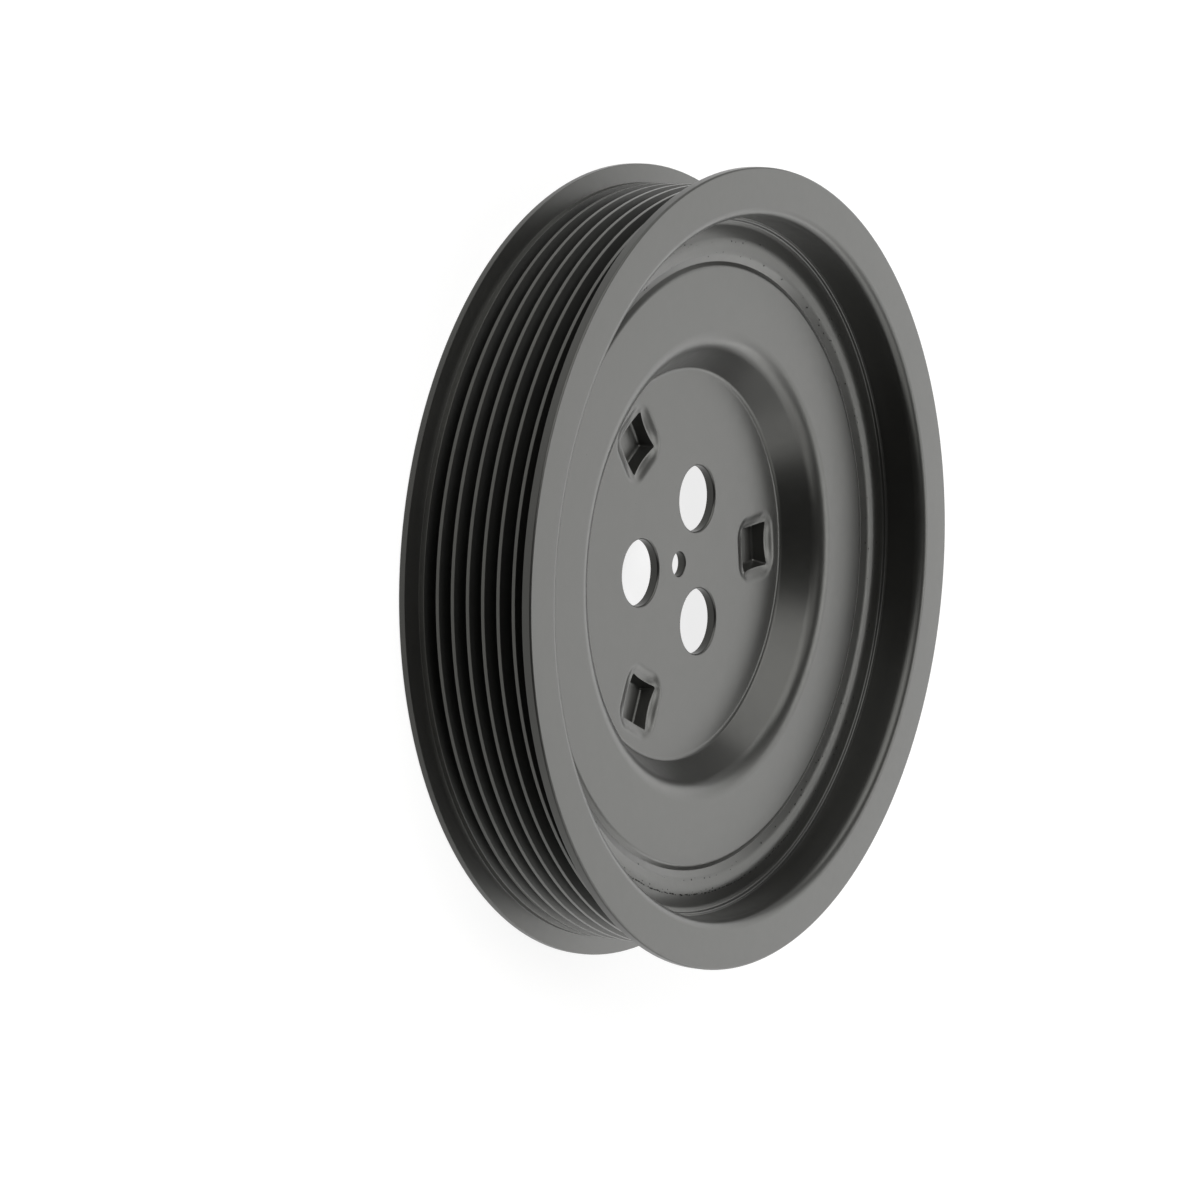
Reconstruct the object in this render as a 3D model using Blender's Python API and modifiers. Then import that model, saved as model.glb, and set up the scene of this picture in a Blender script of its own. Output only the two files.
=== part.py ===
"""Crankshaft pulley for a seven-rib belt, formed from one piece of steel.

Metres, +Z up. The pulley lies on its rear rim face: that face is at z = 0, the
axis is +Z, and the dished front with the bolt holes faces up.
"""

import math

import bmesh
import bpy
from mathutils import Matrix, Vector

PART_NAME = "crankshaft_pulley"

# Rim, seen from outside
OUTER_RADIUS = 0.0825
FLANGE_HEIGHT = 0.0039
FRONT_FLANGE_WIDTH = 0.0020
REAR_FLANGE_WIDTH = 0.00145
FLANGE_WALL_RUN = 0.00065
FRONT_LAND_WIDTH = 0.00075
REAR_LAND_WIDTH = 0.0012
RIM_EDGE_CHAMFER = 0.0004
REAR_EDGE_CHAMFER = 0.0003

# Belt grooves
RIB_COUNT = 7
RIB_PITCH = 0.00356
GROOVE_DEPTH = 0.0029
GROOVE_ROOT_WIDTH = 0.0007
GROOVE_ANGLE = math.radians(40.0)

# Rim, seen from inside
RIM_WALL = 0.0034
FRONT_MOUTH_RADIUS = 0.0022
REAR_MOUTH_RADIUS = 0.0018
REAR_ROOT_RADIUS = 0.0035
LEDGE_DEPTH = 0.0088
LEDGE_WIDTH = 0.0007
LEDGE_STEP = 0.00055

# Raised ridge between the rim and the web
RIDGE_APEX_RADIUS = 0.0671
RIDGE_APEX_DEPTH = 0.0092
RIDGE_ROUNDING = 0.0028
CHANNEL_RADIUS = 0.0689
CHANNEL_DROP = 0.00085
CHANNEL_ROUNDING = 0.0024
CREASE_RADIUS = 0.0630
CREASE_DROP = 0.0008
CREASE_RUN = 0.00035

# Web: a flat ring, a sloping wall and a recessed hub
SHEET = 0.0020
WEB_DEPTH = 0.0097
WEB_EDGE_ROUNDING = 0.0005
HUB_DROP = 0.0078
HUB_CORNER_RADIUS = 0.0407
HUB_WALL_ANGLE = math.radians(55.0)
SHOULDER_ROUNDING = 0.0040
HUB_FILLET = 0.0013
ROOT_THICKNESS = 0.00625
ROOT_OVERLAP = 0.0011
ROOT_SLOPE_RUN = 0.0035
ROOT_ROUNDING = 0.0028
CENTRE_HOLE_RADIUS = 0.0026

# Bolt holes in the hub
BOLT_COUNT = 3
BOLT_CIRCLE_RADIUS = 0.0149
BOLT_HOLE_RADIUS = 0.0069
BOLT_EDGE_ROUNDING = 0.0005
FIRST_BOLT_ANGLE = math.radians(90.0)

# Pressed pockets between the bolt holes
POCKET_CIRCLE_RADIUS = 0.0308
POCKET_TURN = math.radians(60.0)
POCKET_DEPTH = 0.0034
POCKET_MOUTH_HALF = 0.0048
POCKET_FLOOR_HALF = 0.0039
POCKET_CORNER_ROUNDING = 0.0005
POCKET_DRAW_WIDTH = 0.0035
POCKET_DRAW_DEPTH = 0.0012
BOSS_CORNER_ROUNDING = 0.0016

# Facets
TURN_STEPS = 48
HOLE_STEPS = 24
DRAW_STEPS = 24
HOLE_EDGE_SEGMENTS = 3
DRAW_SEGMENTS = 4
SMOOTH_ANGLE = math.radians(32.0)
CUT_MARGIN = 0.0010
MERGE_DISTANCE = 0.00001
LONGEST_SHARE = 0.48

# Places that follow from the sizes above
CREST_RADIUS = OUTER_RADIUS - FLANGE_HEIGHT
ROOT_RADIUS = CREST_RADIUS - GROOVE_DEPTH
WALL_RADIUS = ROOT_RADIUS - RIM_WALL
GROOVE_HALF_ROOT = GROOVE_ROOT_WIDTH / 2
GROOVE_HALF_MOUTH = GROOVE_HALF_ROOT + GROOVE_DEPTH * math.tan(GROOVE_ANGLE / 2)
FRONT_FOOT = FRONT_FLANGE_WIDTH + FLANGE_WALL_RUN
FIRST_GROOVE = FRONT_FOOT + FRONT_LAND_WIDTH + GROOVE_HALF_MOUTH
LAST_GROOVE = FIRST_GROOVE + (RIB_COUNT - 1) * RIB_PITCH
REAR_FOOT = LAST_GROOVE + GROOVE_HALF_MOUTH + REAR_LAND_WIDTH
RIM_WIDTH = REAR_FOOT + FLANGE_WALL_RUN + REAR_FLANGE_WIDTH

COVE_WALL_RADIUS = WALL_RADIUS - LEDGE_WIDTH
CHANNEL_DEPTH = LEDGE_DEPTH + CHANNEL_DROP
WEB_OUTER_RADIUS = CREASE_RADIUS - CREASE_RUN

HUB_DEPTH = WEB_DEPTH + HUB_DROP
SHOULDER_RADIUS = HUB_CORNER_RADIUS + HUB_DROP / math.tan(HUB_WALL_ANGLE)
SHEET_SHIFT = SHEET * math.tan(HUB_WALL_ANGLE / 2)
ROOT_DEPTH = CHANNEL_DEPTH + ROOT_THICKNESS
ROOT_INNER_RADIUS = CREASE_RADIUS - ROOT_OVERLAP
POCKET_ANGLES = [FIRST_BOLT_ANGLE + POCKET_TURN + math.tau * k / BOLT_COUNT for k in range(BOLT_COUNT)]
BOLT_ANGLES = [FIRST_BOLT_ANGLE + math.tau * k / BOLT_COUNT for k in range(BOLT_COUNT)]


def clear_scene():
    """Remove what the scene starts with."""
    for obj in list(bpy.data.objects):
        bpy.data.objects.remove(obj, do_unlink=True)


def make_collection(name):
    """Return a new collection linked to the scene."""
    collection = bpy.data.collections.new(name)
    bpy.context.scene.collection.children.link(collection)
    return collection


def place_on_circle(obj, radius, angle, height):
    """Put an object on a circle round the axis, turned so that its +X points outwards."""
    obj.location = (radius * math.cos(angle), radius * math.sin(angle), height)
    obj.rotation_euler = (0.0, 0.0, angle)


def rounded_corner(before, here, after, rounding, segments):
    """Points of the arc that rounds a corner, tangent to both of its sides.

    The arc never takes more than its share of the shorter side.
    """
    to_before = before - here
    to_after = after - here
    half_angle = to_before.angle(to_after) / 2
    shorter = min(to_before.length, to_after.length)
    reach = min(rounding / math.tan(half_angle), LONGEST_SHARE * shorter)
    to_before.normalize()
    to_after.normalize()
    inwards = (to_before + to_after).normalized()
    centre = here + inwards * reach / math.cos(half_angle)
    start = here + to_before * reach - centre
    end = here + to_after * reach - centre
    sweep = start.angle_signed(end)
    return [centre + Matrix.Rotation(-sweep * step / segments, 2) @ start for step in range(segments + 1)]


def rounded_outline(corners):
    """Turn a closed run of corners into an outline.

    A corner is (radius, depth, rounding, segments): its distance from the axis, its depth
    below the front face, and the radius and the number of segments of the arc that
    replaces it.
    """
    places = [Vector((radius, -depth)) for radius, depth, rounding, segments in corners]
    points = []
    for index, (radius, depth, rounding, segments) in enumerate(corners):
        if rounding == 0.0:
            points.append(places[index])
            continue
        following = places[(index + 1) % len(places)]
        points += rounded_corner(places[index - 1], places[index], following, rounding, segments)
    return points


def turned_object(name, outline, steps, closed, collection):
    """Turn an outline round the axis.

    The outline holds points (radius, height). It is placed at +X, and with closed set its
    last point joins the first.
    """
    mesh = bpy.data.meshes.new(name)
    vertices = [(radius, 0.0, height) for radius, height in outline]
    edges = [(i, i + 1) for i in range(len(vertices) - 1)]
    if closed:
        edges.append((len(vertices) - 1, 0))
    mesh.from_pydata(vertices, edges, [])
    obj = bpy.data.objects.new(name, mesh)
    collection.objects.link(obj)
    screw = obj.modifiers.new("turn", "SCREW")
    screw.axis = "Z"
    screw.angle = math.tau
    screw.steps = steps
    screw.render_steps = steps
    screw.use_merge_vertices = True
    screw.merge_threshold = MERGE_DISTANCE
    screw.use_smooth_shade = False
    return obj


def groove_corners():
    """Corners of the ribbed belt track, from the front flange to the rear flange."""
    corners = [(CREST_RADIUS, FRONT_FOOT, 0.0, 0)]
    for index in range(RIB_COUNT):
        middle = FIRST_GROOVE + index * RIB_PITCH
        corners.append((CREST_RADIUS, middle - GROOVE_HALF_MOUTH, 0.0, 0))
        corners.append((ROOT_RADIUS, middle - GROOVE_HALF_ROOT, 0.0, 0))
        corners.append((ROOT_RADIUS, middle + GROOVE_HALF_ROOT, 0.0, 0))
        corners.append((CREST_RADIUS, middle + GROOVE_HALF_MOUTH, 0.0, 0))
    corners.append((CREST_RADIUS, REAR_FOOT, 0.0, 0))
    return corners


def outside_corners():
    """Corners of the outside of the rim, from the front face down to the rear face."""
    corners = [
        (OUTER_RADIUS, 0.0, RIM_EDGE_CHAMFER, 1),
        (OUTER_RADIUS, FRONT_FLANGE_WIDTH, 0.0, 0),
    ]
    corners += groove_corners()
    corners += [
        (OUTER_RADIUS, RIM_WIDTH - REAR_FLANGE_WIDTH, 0.0, 0),
        (OUTER_RADIUS, RIM_WIDTH, REAR_EDGE_CHAMFER, 1),
    ]
    return corners


def rear_corners():
    """Corners of the rear, from the rim's rear face to the centre hole."""
    return [
        (WALL_RADIUS, RIM_WIDTH, REAR_MOUTH_RADIUS, 3),
        (WALL_RADIUS, ROOT_DEPTH, REAR_ROOT_RADIUS, 3),
        (ROOT_INNER_RADIUS, ROOT_DEPTH, ROOT_ROUNDING, 3),
        (ROOT_INNER_RADIUS - ROOT_SLOPE_RUN, WEB_DEPTH + SHEET, ROOT_ROUNDING, 3),
        (SHOULDER_RADIUS + SHEET_SHIFT, WEB_DEPTH + SHEET, SHOULDER_ROUNDING - SHEET, 3),
        (HUB_CORNER_RADIUS + SHEET_SHIFT, HUB_DEPTH + SHEET, HUB_FILLET + SHEET, 4),
        (CENTRE_HOLE_RADIUS, HUB_DEPTH + SHEET, 0.0, 0),
    ]


def front_corners():
    """Corners of the dished front, from the centre hole to the rim's front face."""
    return [
        (CENTRE_HOLE_RADIUS, HUB_DEPTH, 0.0, 0),
        (HUB_CORNER_RADIUS, HUB_DEPTH, HUB_FILLET, 3),
        (SHOULDER_RADIUS, WEB_DEPTH, SHOULDER_ROUNDING, 5),
        (WEB_OUTER_RADIUS, WEB_DEPTH, WEB_EDGE_ROUNDING, 2),
        (CREASE_RADIUS, WEB_DEPTH + CREASE_DROP, 0.0, 0),
        (RIDGE_APEX_RADIUS, RIDGE_APEX_DEPTH, RIDGE_ROUNDING, 5),
        (CHANNEL_RADIUS, CHANNEL_DEPTH, CHANNEL_ROUNDING, 3),
        (COVE_WALL_RADIUS, LEDGE_DEPTH + LEDGE_STEP, 0.0, 0),
        (COVE_WALL_RADIUS, LEDGE_DEPTH, 0.0, 0),
        (WALL_RADIUS, LEDGE_DEPTH, 0.0, 0),
        (WALL_RADIUS, 0.0, FRONT_MOUTH_RADIUS, 4),
    ]


def pulley_outline():
    """The closed half section of the pulley, down its outer side and back up the inside."""
    return rounded_outline(outside_corners() + rear_corners() + front_corners())


def drilled_outline(hole_radius, edge_rounding):
    """Half section of a cutter for a round hole whose front edge is rounded over."""
    start = hole_radius + edge_rounding
    outline = [Vector((0.0, CUT_MARGIN)), Vector((start, CUT_MARGIN))]
    for step in range(HOLE_EDGE_SEGMENTS + 1):
        angle = math.pi / 2 * step / HOLE_EDGE_SEGMENTS
        sideways = edge_rounding * (1 - math.sin(angle))
        outline.append(Vector((hole_radius + sideways, -edge_rounding * (1 - math.cos(angle)))))
    bottom = -(SHEET + CUT_MARGIN)
    outline += [Vector((hole_radius, bottom)), Vector((0.0, bottom))]
    return outline


def draw_outline():
    """Half section of the soft, drawn-in edge round a pressed pocket."""
    rim = POCKET_MOUTH_HALF + POCKET_DRAW_WIDTH
    sweep = 2 * math.atan2(POCKET_DRAW_DEPTH, POCKET_DRAW_WIDTH)
    bend = POCKET_DRAW_WIDTH / math.sin(sweep)
    outline = [Vector((0.0, CUT_MARGIN)), Vector((rim, CUT_MARGIN))]
    for step in range(DRAW_SEGMENTS + 1):
        angle = sweep * step / DRAW_SEGMENTS
        outline.append(Vector((rim - bend * math.sin(angle), -bend * (1 - math.cos(angle)))))
    outline.append(Vector((0.0, -POCKET_DRAW_DEPTH)))
    return outline


def tapered_block(name, top_half, bottom_half, top, bottom, corner_rounding, collection):
    """A square block that narrows downwards, with its upright and bottom edges rounded."""
    mesh = bpy.data.meshes.new(name)
    bm = bmesh.new()
    bmesh.ops.create_cube(bm, size=2.0)
    for vertex in bm.verts:
        half = top_half if vertex.co.z > 0 else bottom_half
        height = top if vertex.co.z > 0 else bottom
        vertex.co = Vector((vertex.co.x * half, vertex.co.y * half, height))
    rounded = [edge for edge in bm.edges if min(v.co.z for v in edge.verts) < top - MERGE_DISTANCE]
    bmesh.ops.bevel(bm, geom=rounded, offset=corner_rounding, segments=2, profile=0.5, affect="EDGES")
    bm.to_mesh(mesh)
    bm.free()
    obj = bpy.data.objects.new(name, mesh)
    collection.objects.link(obj)
    return obj


def pocket_half(depth):
    """Half the width of a pocket at a depth below the hub's face."""
    slope = (POCKET_MOUTH_HALF - POCKET_FLOOR_HALF) / POCKET_DEPTH
    return POCKET_MOUTH_HALF - slope * depth


def as_tool(obj):
    """Mark an object as a cutter or an added lump, which isn't part of the model by itself."""
    obj.hide_render = True
    obj.display_type = "WIRE"
    return obj


def add_boolean(target, tool, operation):
    """Cut a tool from a target, or join it on."""
    modifier = target.modifiers.new(tool.name, "BOOLEAN")
    modifier.object = tool
    modifier.operation = operation
    modifier.solver = "EXACT"


def press_pockets(pulley, tools, hub_height):
    """Press the square pockets into the hub: a lump behind, then the pocket in front."""
    for index, angle in enumerate(POCKET_ANGLES):
        boss = tapered_block(
            f"boss_{index + 1}",
            pocket_half(SHEET / 2) + SHEET,
            POCKET_FLOOR_HALF + SHEET,
            -SHEET / 2,
            -POCKET_DEPTH - SHEET,
            BOSS_CORNER_ROUNDING,
            tools,
        )
        place_on_circle(as_tool(boss), POCKET_CIRCLE_RADIUS, angle, hub_height)
        add_boolean(pulley, boss, "UNION")
    for index, angle in enumerate(POCKET_ANGLES):
        draw = turned_object(f"draw_{index + 1}", draw_outline(), DRAW_STEPS, False, tools)
        place_on_circle(as_tool(draw), POCKET_CIRCLE_RADIUS, angle, hub_height)
        add_boolean(pulley, draw, "DIFFERENCE")
        punch = tapered_block(
            f"punch_{index + 1}",
            pocket_half(-CUT_MARGIN),
            POCKET_FLOOR_HALF,
            CUT_MARGIN,
            -POCKET_DEPTH,
            POCKET_CORNER_ROUNDING,
            tools,
        )
        place_on_circle(as_tool(punch), POCKET_CIRCLE_RADIUS, angle, hub_height)
        add_boolean(pulley, punch, "DIFFERENCE")


def drill_bolt_holes(pulley, tools, hub_height):
    """Cut the bolt holes through the hub."""
    outline = drilled_outline(BOLT_HOLE_RADIUS, BOLT_EDGE_ROUNDING)
    for index, angle in enumerate(BOLT_ANGLES):
        drill = turned_object(f"bolt_hole_{index + 1}", outline, HOLE_STEPS, False, tools)
        place_on_circle(as_tool(drill), BOLT_CIRCLE_RADIUS, angle, hub_height)
        add_boolean(pulley, drill, "DIFFERENCE")


def black_coat():
    """Satin black dip coat on steel."""
    material = bpy.data.materials.new("satin_black_coat")
    material.use_nodes = True
    shader = material.node_tree.nodes["Principled BSDF"]
    shader.inputs["Base Color"].default_value = (0.020, 0.020, 0.019, 1.0)
    shader.inputs["Roughness"].default_value = 0.38
    shader.inputs["Metallic"].default_value = 0.0
    return material


def settle(obj):
    """Keep the finished shape as the object's own mesh, shaded smooth where it is round."""
    graph = bpy.context.evaluated_depsgraph_get()
    finished = bpy.data.meshes.new_from_object(obj.evaluated_get(graph))
    obj.modifiers.clear()
    obj.data = finished
    finished.shade_smooth()
    finished.set_sharp_from_angle(angle=SMOOTH_ANGLE)


def build():
    """Make the pulley."""
    clear_scene()
    parts = make_collection(PART_NAME)
    tools = make_collection("tools")
    pulley = turned_object("pulley", pulley_outline(), TURN_STEPS, True, parts)
    pulley.location.z = RIM_WIDTH
    pulley.data.materials.append(black_coat())
    hub_height = RIM_WIDTH - HUB_DEPTH
    press_pockets(pulley, tools, hub_height)
    drill_bolt_holes(pulley, tools, hub_height)
    settle(pulley)


build()
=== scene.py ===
"""Dressed scene of a one-piece crankshaft pulley for a ribbed belt.

The pulley is pressed and spun from one steel blank, then dip coated in satin black. It
lies on its rear rim face, axis up, and the camera looks down into its dished front.
Lengths are written in millimetres and turned to metres once, by mm().
"""

from __future__ import annotations

import logging
import math
from dataclasses import dataclass
from enum import Enum
from typing import Any, Sequence

import bmesh
import bpy
from mathutils import Matrix, Vector


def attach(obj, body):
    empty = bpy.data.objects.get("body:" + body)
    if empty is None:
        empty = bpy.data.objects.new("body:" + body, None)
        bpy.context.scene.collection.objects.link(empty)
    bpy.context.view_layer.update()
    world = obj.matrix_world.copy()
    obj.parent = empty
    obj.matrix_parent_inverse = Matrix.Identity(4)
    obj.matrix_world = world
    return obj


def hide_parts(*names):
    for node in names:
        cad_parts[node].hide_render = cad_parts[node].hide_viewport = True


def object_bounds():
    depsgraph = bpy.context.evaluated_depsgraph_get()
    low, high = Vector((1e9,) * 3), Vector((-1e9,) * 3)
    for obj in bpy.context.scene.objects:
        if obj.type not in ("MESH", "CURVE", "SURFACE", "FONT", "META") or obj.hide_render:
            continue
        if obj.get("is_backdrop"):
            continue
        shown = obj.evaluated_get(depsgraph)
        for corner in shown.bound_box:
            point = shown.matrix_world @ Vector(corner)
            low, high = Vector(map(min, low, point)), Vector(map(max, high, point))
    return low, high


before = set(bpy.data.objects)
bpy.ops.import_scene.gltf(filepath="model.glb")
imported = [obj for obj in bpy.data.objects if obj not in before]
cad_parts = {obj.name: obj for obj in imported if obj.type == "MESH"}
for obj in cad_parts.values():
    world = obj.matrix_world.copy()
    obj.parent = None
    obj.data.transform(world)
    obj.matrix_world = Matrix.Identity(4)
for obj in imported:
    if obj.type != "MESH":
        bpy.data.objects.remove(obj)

log = logging.getLogger("pulley")

NODE = "pulley"
BODY = "root"

Corner = tuple[float, float, float, int]
Pair = tuple[float, float]
Material = bpy.types.Material
Node = bpy.types.Node
Piece = bpy.types.Object
Socket = bpy.types.NodeSocket
Tree = bpy.types.NodeTree

# Points closer together than this, in metres, are merged.
MERGE_DISTANCE = 1e-7
# The most that the rounding of a corner takes of the shorter side beside it.
LONGEST_SHARE = 0.48


def mm(length: float) -> float:
    """Return a length in metres that is given in millimetres."""
    return length * 0.001


def linear(hex_colour: str) -> tuple[float, float, float, float]:
    """Turn an sRGB hex colour to linear RGBA.

    Args:
        hex_colour: Six hex digits, such as "1b1b1a".

    Returns:
        Red, green, blue and alpha, with alpha 1.
    """
    channels = [int(hex_colour[place : place + 2], 16) / 255 for place in (0, 2, 4)]
    colour = [c / 12.92 if c <= 0.04045 else ((c + 0.055) / 1.055) ** 2.4 for c in channels]
    return (*colour, 1.0)


def add_node(tree: Tree, kind: str, inputs: dict | None = None, **settings: Any) -> Node:
    """Add a node to a tree, with its settings and what its inputs get.

    Args:
        tree: The shader or geometry tree.
        kind: The node's type name.
        inputs: Input name or number to a socket, which is linked, or to a plain value.
        **settings: Attributes of the node itself.

    Returns:
        The new node.
    """
    node = tree.nodes.new(kind)
    for name, value in settings.items():
        setattr(node, name, value)
    for key, value in (inputs or {}).items():
        if isinstance(value, Socket):
            tree.links.new(value, node.inputs[key])
        else:
            node.inputs[key].default_value = value
    return node


class Zone(Enum):
    """Which surface of the pulley a face belongs to; its value is the material's place."""

    PRESSED = 0
    TURNED = 1
    RIDGE = 2
    GROOVE = 3
    CREST = 4


@dataclass(frozen=True)
class DipCoat:
    """Epoxy dip coat on steel, cured in an oven: a thin satin black film with orange peel.

    The film is a dielectric, so it has no metallic value, and its IOR is that of a filled
    epoxy. What gives it its look is the broad, soft reflection of whatever is lit round it,
    over a near black colour. The peel of such a film is 0.3 to 1 mm, and its coarse end is
    drawn, because the fine end is less than two pixels of the photograph.
    """

    name: str
    colour: str = "1e1e1d"
    faded_colour: str = "262624"
    roughness: float = 0.30
    roughness_spread: float = 0.04
    ior: float = 1.58
    sheen_tint: str = "fffff9"
    peel_size_mm: float = 0.9
    peel_height_mm: float = 0.0035
    mottle_size_mm: float = 7.0
    grain_size_mm: float = 0.25
    grain_height_mm: float = 0.0
    ring_pitch_mm: float = 0.0
    ring_height_mm: float = 0.0

    def build(self) -> Material:
        """Make the material.

        Returns:
            The finished material, reading Object coordinates.
        """
        material = bpy.data.materials.new(self.name)
        material.use_nodes = True
        tree = material.node_tree
        shader = tree.nodes["Principled BSDF"]
        place = add_node(tree, "ShaderNodeTexCoord").outputs["Object"]
        mottle = self._noise(tree, place, self.mottle_size_mm, 3.0)
        shades = {0: mottle, 6: linear(self.colour), 7: linear(self.faded_colour)}
        colour = add_node(tree, "ShaderNodeMix", shades, data_type="RGBA").outputs[2]
        spread = {
            "Value": self._noise(tree, place, self.peel_size_mm * 2, 2.0),
            "To Min": self.roughness - self.roughness_spread,
            "To Max": self.roughness + self.roughness_spread,
        }
        gloss = add_node(tree, "ShaderNodeMapRange", spread)
        tree.links.new(colour, shader.inputs["Base Color"])
        tree.links.new(gloss.outputs[0], shader.inputs["Roughness"])
        tree.links.new(self._relief(tree, place), shader.inputs["Normal"])
        shader.inputs["IOR"].default_value = self.ior
        shader.inputs["Metallic"].default_value = 0.0
        shader.inputs["Specular Tint"].default_value = linear(self.sheen_tint)
        return material

    def _noise(self, tree: Tree, place: Socket, size_mm: float, detail: float) -> Socket:
        """Return the value of a noise whose lumps are about size_mm across."""
        inputs = {"Vector": place, "Scale": 1 / mm(size_mm), "Detail": detail}
        return add_node(tree, "ShaderNodeTexNoise", inputs).outputs[0]

    def _relief(self, tree: Tree, place: Socket) -> Socket:
        """Bump the film with its peel, and with grain and turning rings where it has them.

        Args:
            tree: The material's tree.
            place: Object coordinates.

        Returns:
            The film's normal.
        """
        layers = [(self._noise(tree, place, self.peel_size_mm, 1.0), self.peel_height_mm)]
        if self.grain_height_mm:
            layers.append((self._noise(tree, place, self.grain_size_mm, 2.0), self.grain_height_mm))
        if self.ring_height_mm:
            layers.append((self._rings(tree, place), self.ring_height_mm))
        normal = None
        for height, height_mm in layers:
            inputs = {"Height": height, "Strength": 1.0, "Distance": mm(height_mm)}
            if normal is not None:
                inputs["Normal"] = normal
            normal = add_node(tree, "ShaderNodeBump", inputs).outputs["Normal"]
        return normal

    def _rings(self, tree: Tree, place: Socket) -> Socket:
        """Make a height that goes up and down with the distance from the axis, like tool marks.

        Args:
            tree: The material's tree.
            place: Object coordinates.

        Returns:
            The height, from 0 to 1.
        """
        level = {0: place, 1: (1.0, 1.0, 0.0)}
        flat = add_node(tree, "ShaderNodeVectorMath", level, operation="MULTIPLY")
        radius = add_node(tree, "ShaderNodeVectorMath", {0: flat.outputs[0]}, operation="LENGTH")
        inputs = {"W": radius.outputs["Value"], "Scale": 1 / mm(self.ring_pitch_mm), "Detail": 1.0}
        return add_node(tree, "ShaderNodeTexNoise", inputs, noise_dimensions="1D").outputs[0]


def rounded_corner(
    before: Vector, here: Vector, after: Vector, rounding: float, segments: int
) -> list[Vector]:
    """Return the arc that rounds a corner, tangent to both of its sides.

    Args:
        before: The corner before this one, as (radius, height).
        here: The corner itself.
        after: The corner after it.
        rounding: The arc's radius. It never takes more than its share of the shorter side.
        segments: How many straight pieces the arc has.

    Returns:
        The arc's points.
    """
    to_before = before - here
    to_after = after - here
    half_angle = to_before.angle(to_after) / 2
    shorter = min(to_before.length, to_after.length)
    reach = min(rounding / math.tan(half_angle), LONGEST_SHARE * shorter)
    to_before.normalize()
    to_after.normalize()
    centre = here + (to_before + to_after).normalized() * reach / math.cos(half_angle)
    start = here + to_before * reach - centre
    end = here + to_after * reach - centre
    sweep = start.angle_signed(end)
    turns = [Matrix.Rotation(-sweep * step / segments, 2) for step in range(segments + 1)]
    return [centre + turn @ start for turn in turns]


def rounded_outline(corners: Sequence[Corner], top: float) -> list[Vector]:
    """Turn corners into a closed outline.

    Args:
        corners: Each is (radius, depth below the front face, rounding, segments), in mm.
        top: Height of the front face, in metres.

    Returns:
        Points (radius, height) in metres.
    """
    places = [Vector((mm(corner[0]), top - mm(corner[1]))) for corner in corners]
    points: list[Vector] = []
    for index, (_, _, rounding, segments) in enumerate(corners):
        before, here, after = places[index - 1], places[index], places[(index + 1) % len(places)]
        if rounding == 0.0:
            points.append(here)
        else:
            points += rounded_corner(before, here, after, mm(rounding), segments)
    return points


def plain_mesh(obj: Piece) -> Piece:
    """Keep what an object's modifiers make as its own mesh, closed and facing outwards.

    Args:
        obj: A mesh object with live modifiers.

    Returns:
        The same object, without modifiers.
    """
    graph = bpy.context.evaluated_depsgraph_get()
    made = bpy.data.meshes.new_from_object(obj.evaluated_get(graph))
    obj.modifiers.clear()
    obj.data = made
    bm = bmesh.new()
    bm.from_mesh(made)
    bmesh.ops.remove_doubles(bm, verts=bm.verts, dist=MERGE_DISTANCE)
    bmesh.ops.recalc_face_normals(bm, faces=bm.faces)
    bm.to_mesh(made)
    bm.free()
    return obj


def new_object(name: str, data: bpy.types.ID) -> Piece:
    """Make an object of a mesh, a lamp or a camera, and link it to the scene."""
    obj = bpy.data.objects.new(name, data)
    bpy.context.scene.collection.objects.link(obj)
    return obj


def outline_object(name: str, outline: Sequence[Vector]) -> Piece:
    """Make an object of loose points, at +X, that hold an outline's (radius, height)."""
    mesh = bpy.data.meshes.new(name)
    mesh.from_pydata([(point[0], 0.0, point[1]) for point in outline], [], [])
    return new_object(name, mesh)


def lens_mesh(name: str, half_sizes: tuple[float, float, float]) -> bpy.types.Mesh:
    """Make a small flattened ball of few faces, centred on its origin.

    Args:
        name: The mesh's name.
        half_sizes: Half its length along X, Y and Z, in mm.

    Returns:
        The mesh.
    """
    mesh = bpy.data.meshes.new(name)
    bm = bmesh.new()
    bmesh.ops.create_uvsphere(bm, u_segments=8, v_segments=4, radius=1.0)
    bmesh.ops.scale(bm, vec=[mm(half) for half in half_sizes], verts=bm.verts)
    bm.to_mesh(mesh)
    bm.free()
    mesh.shade_smooth()
    return mesh


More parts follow.
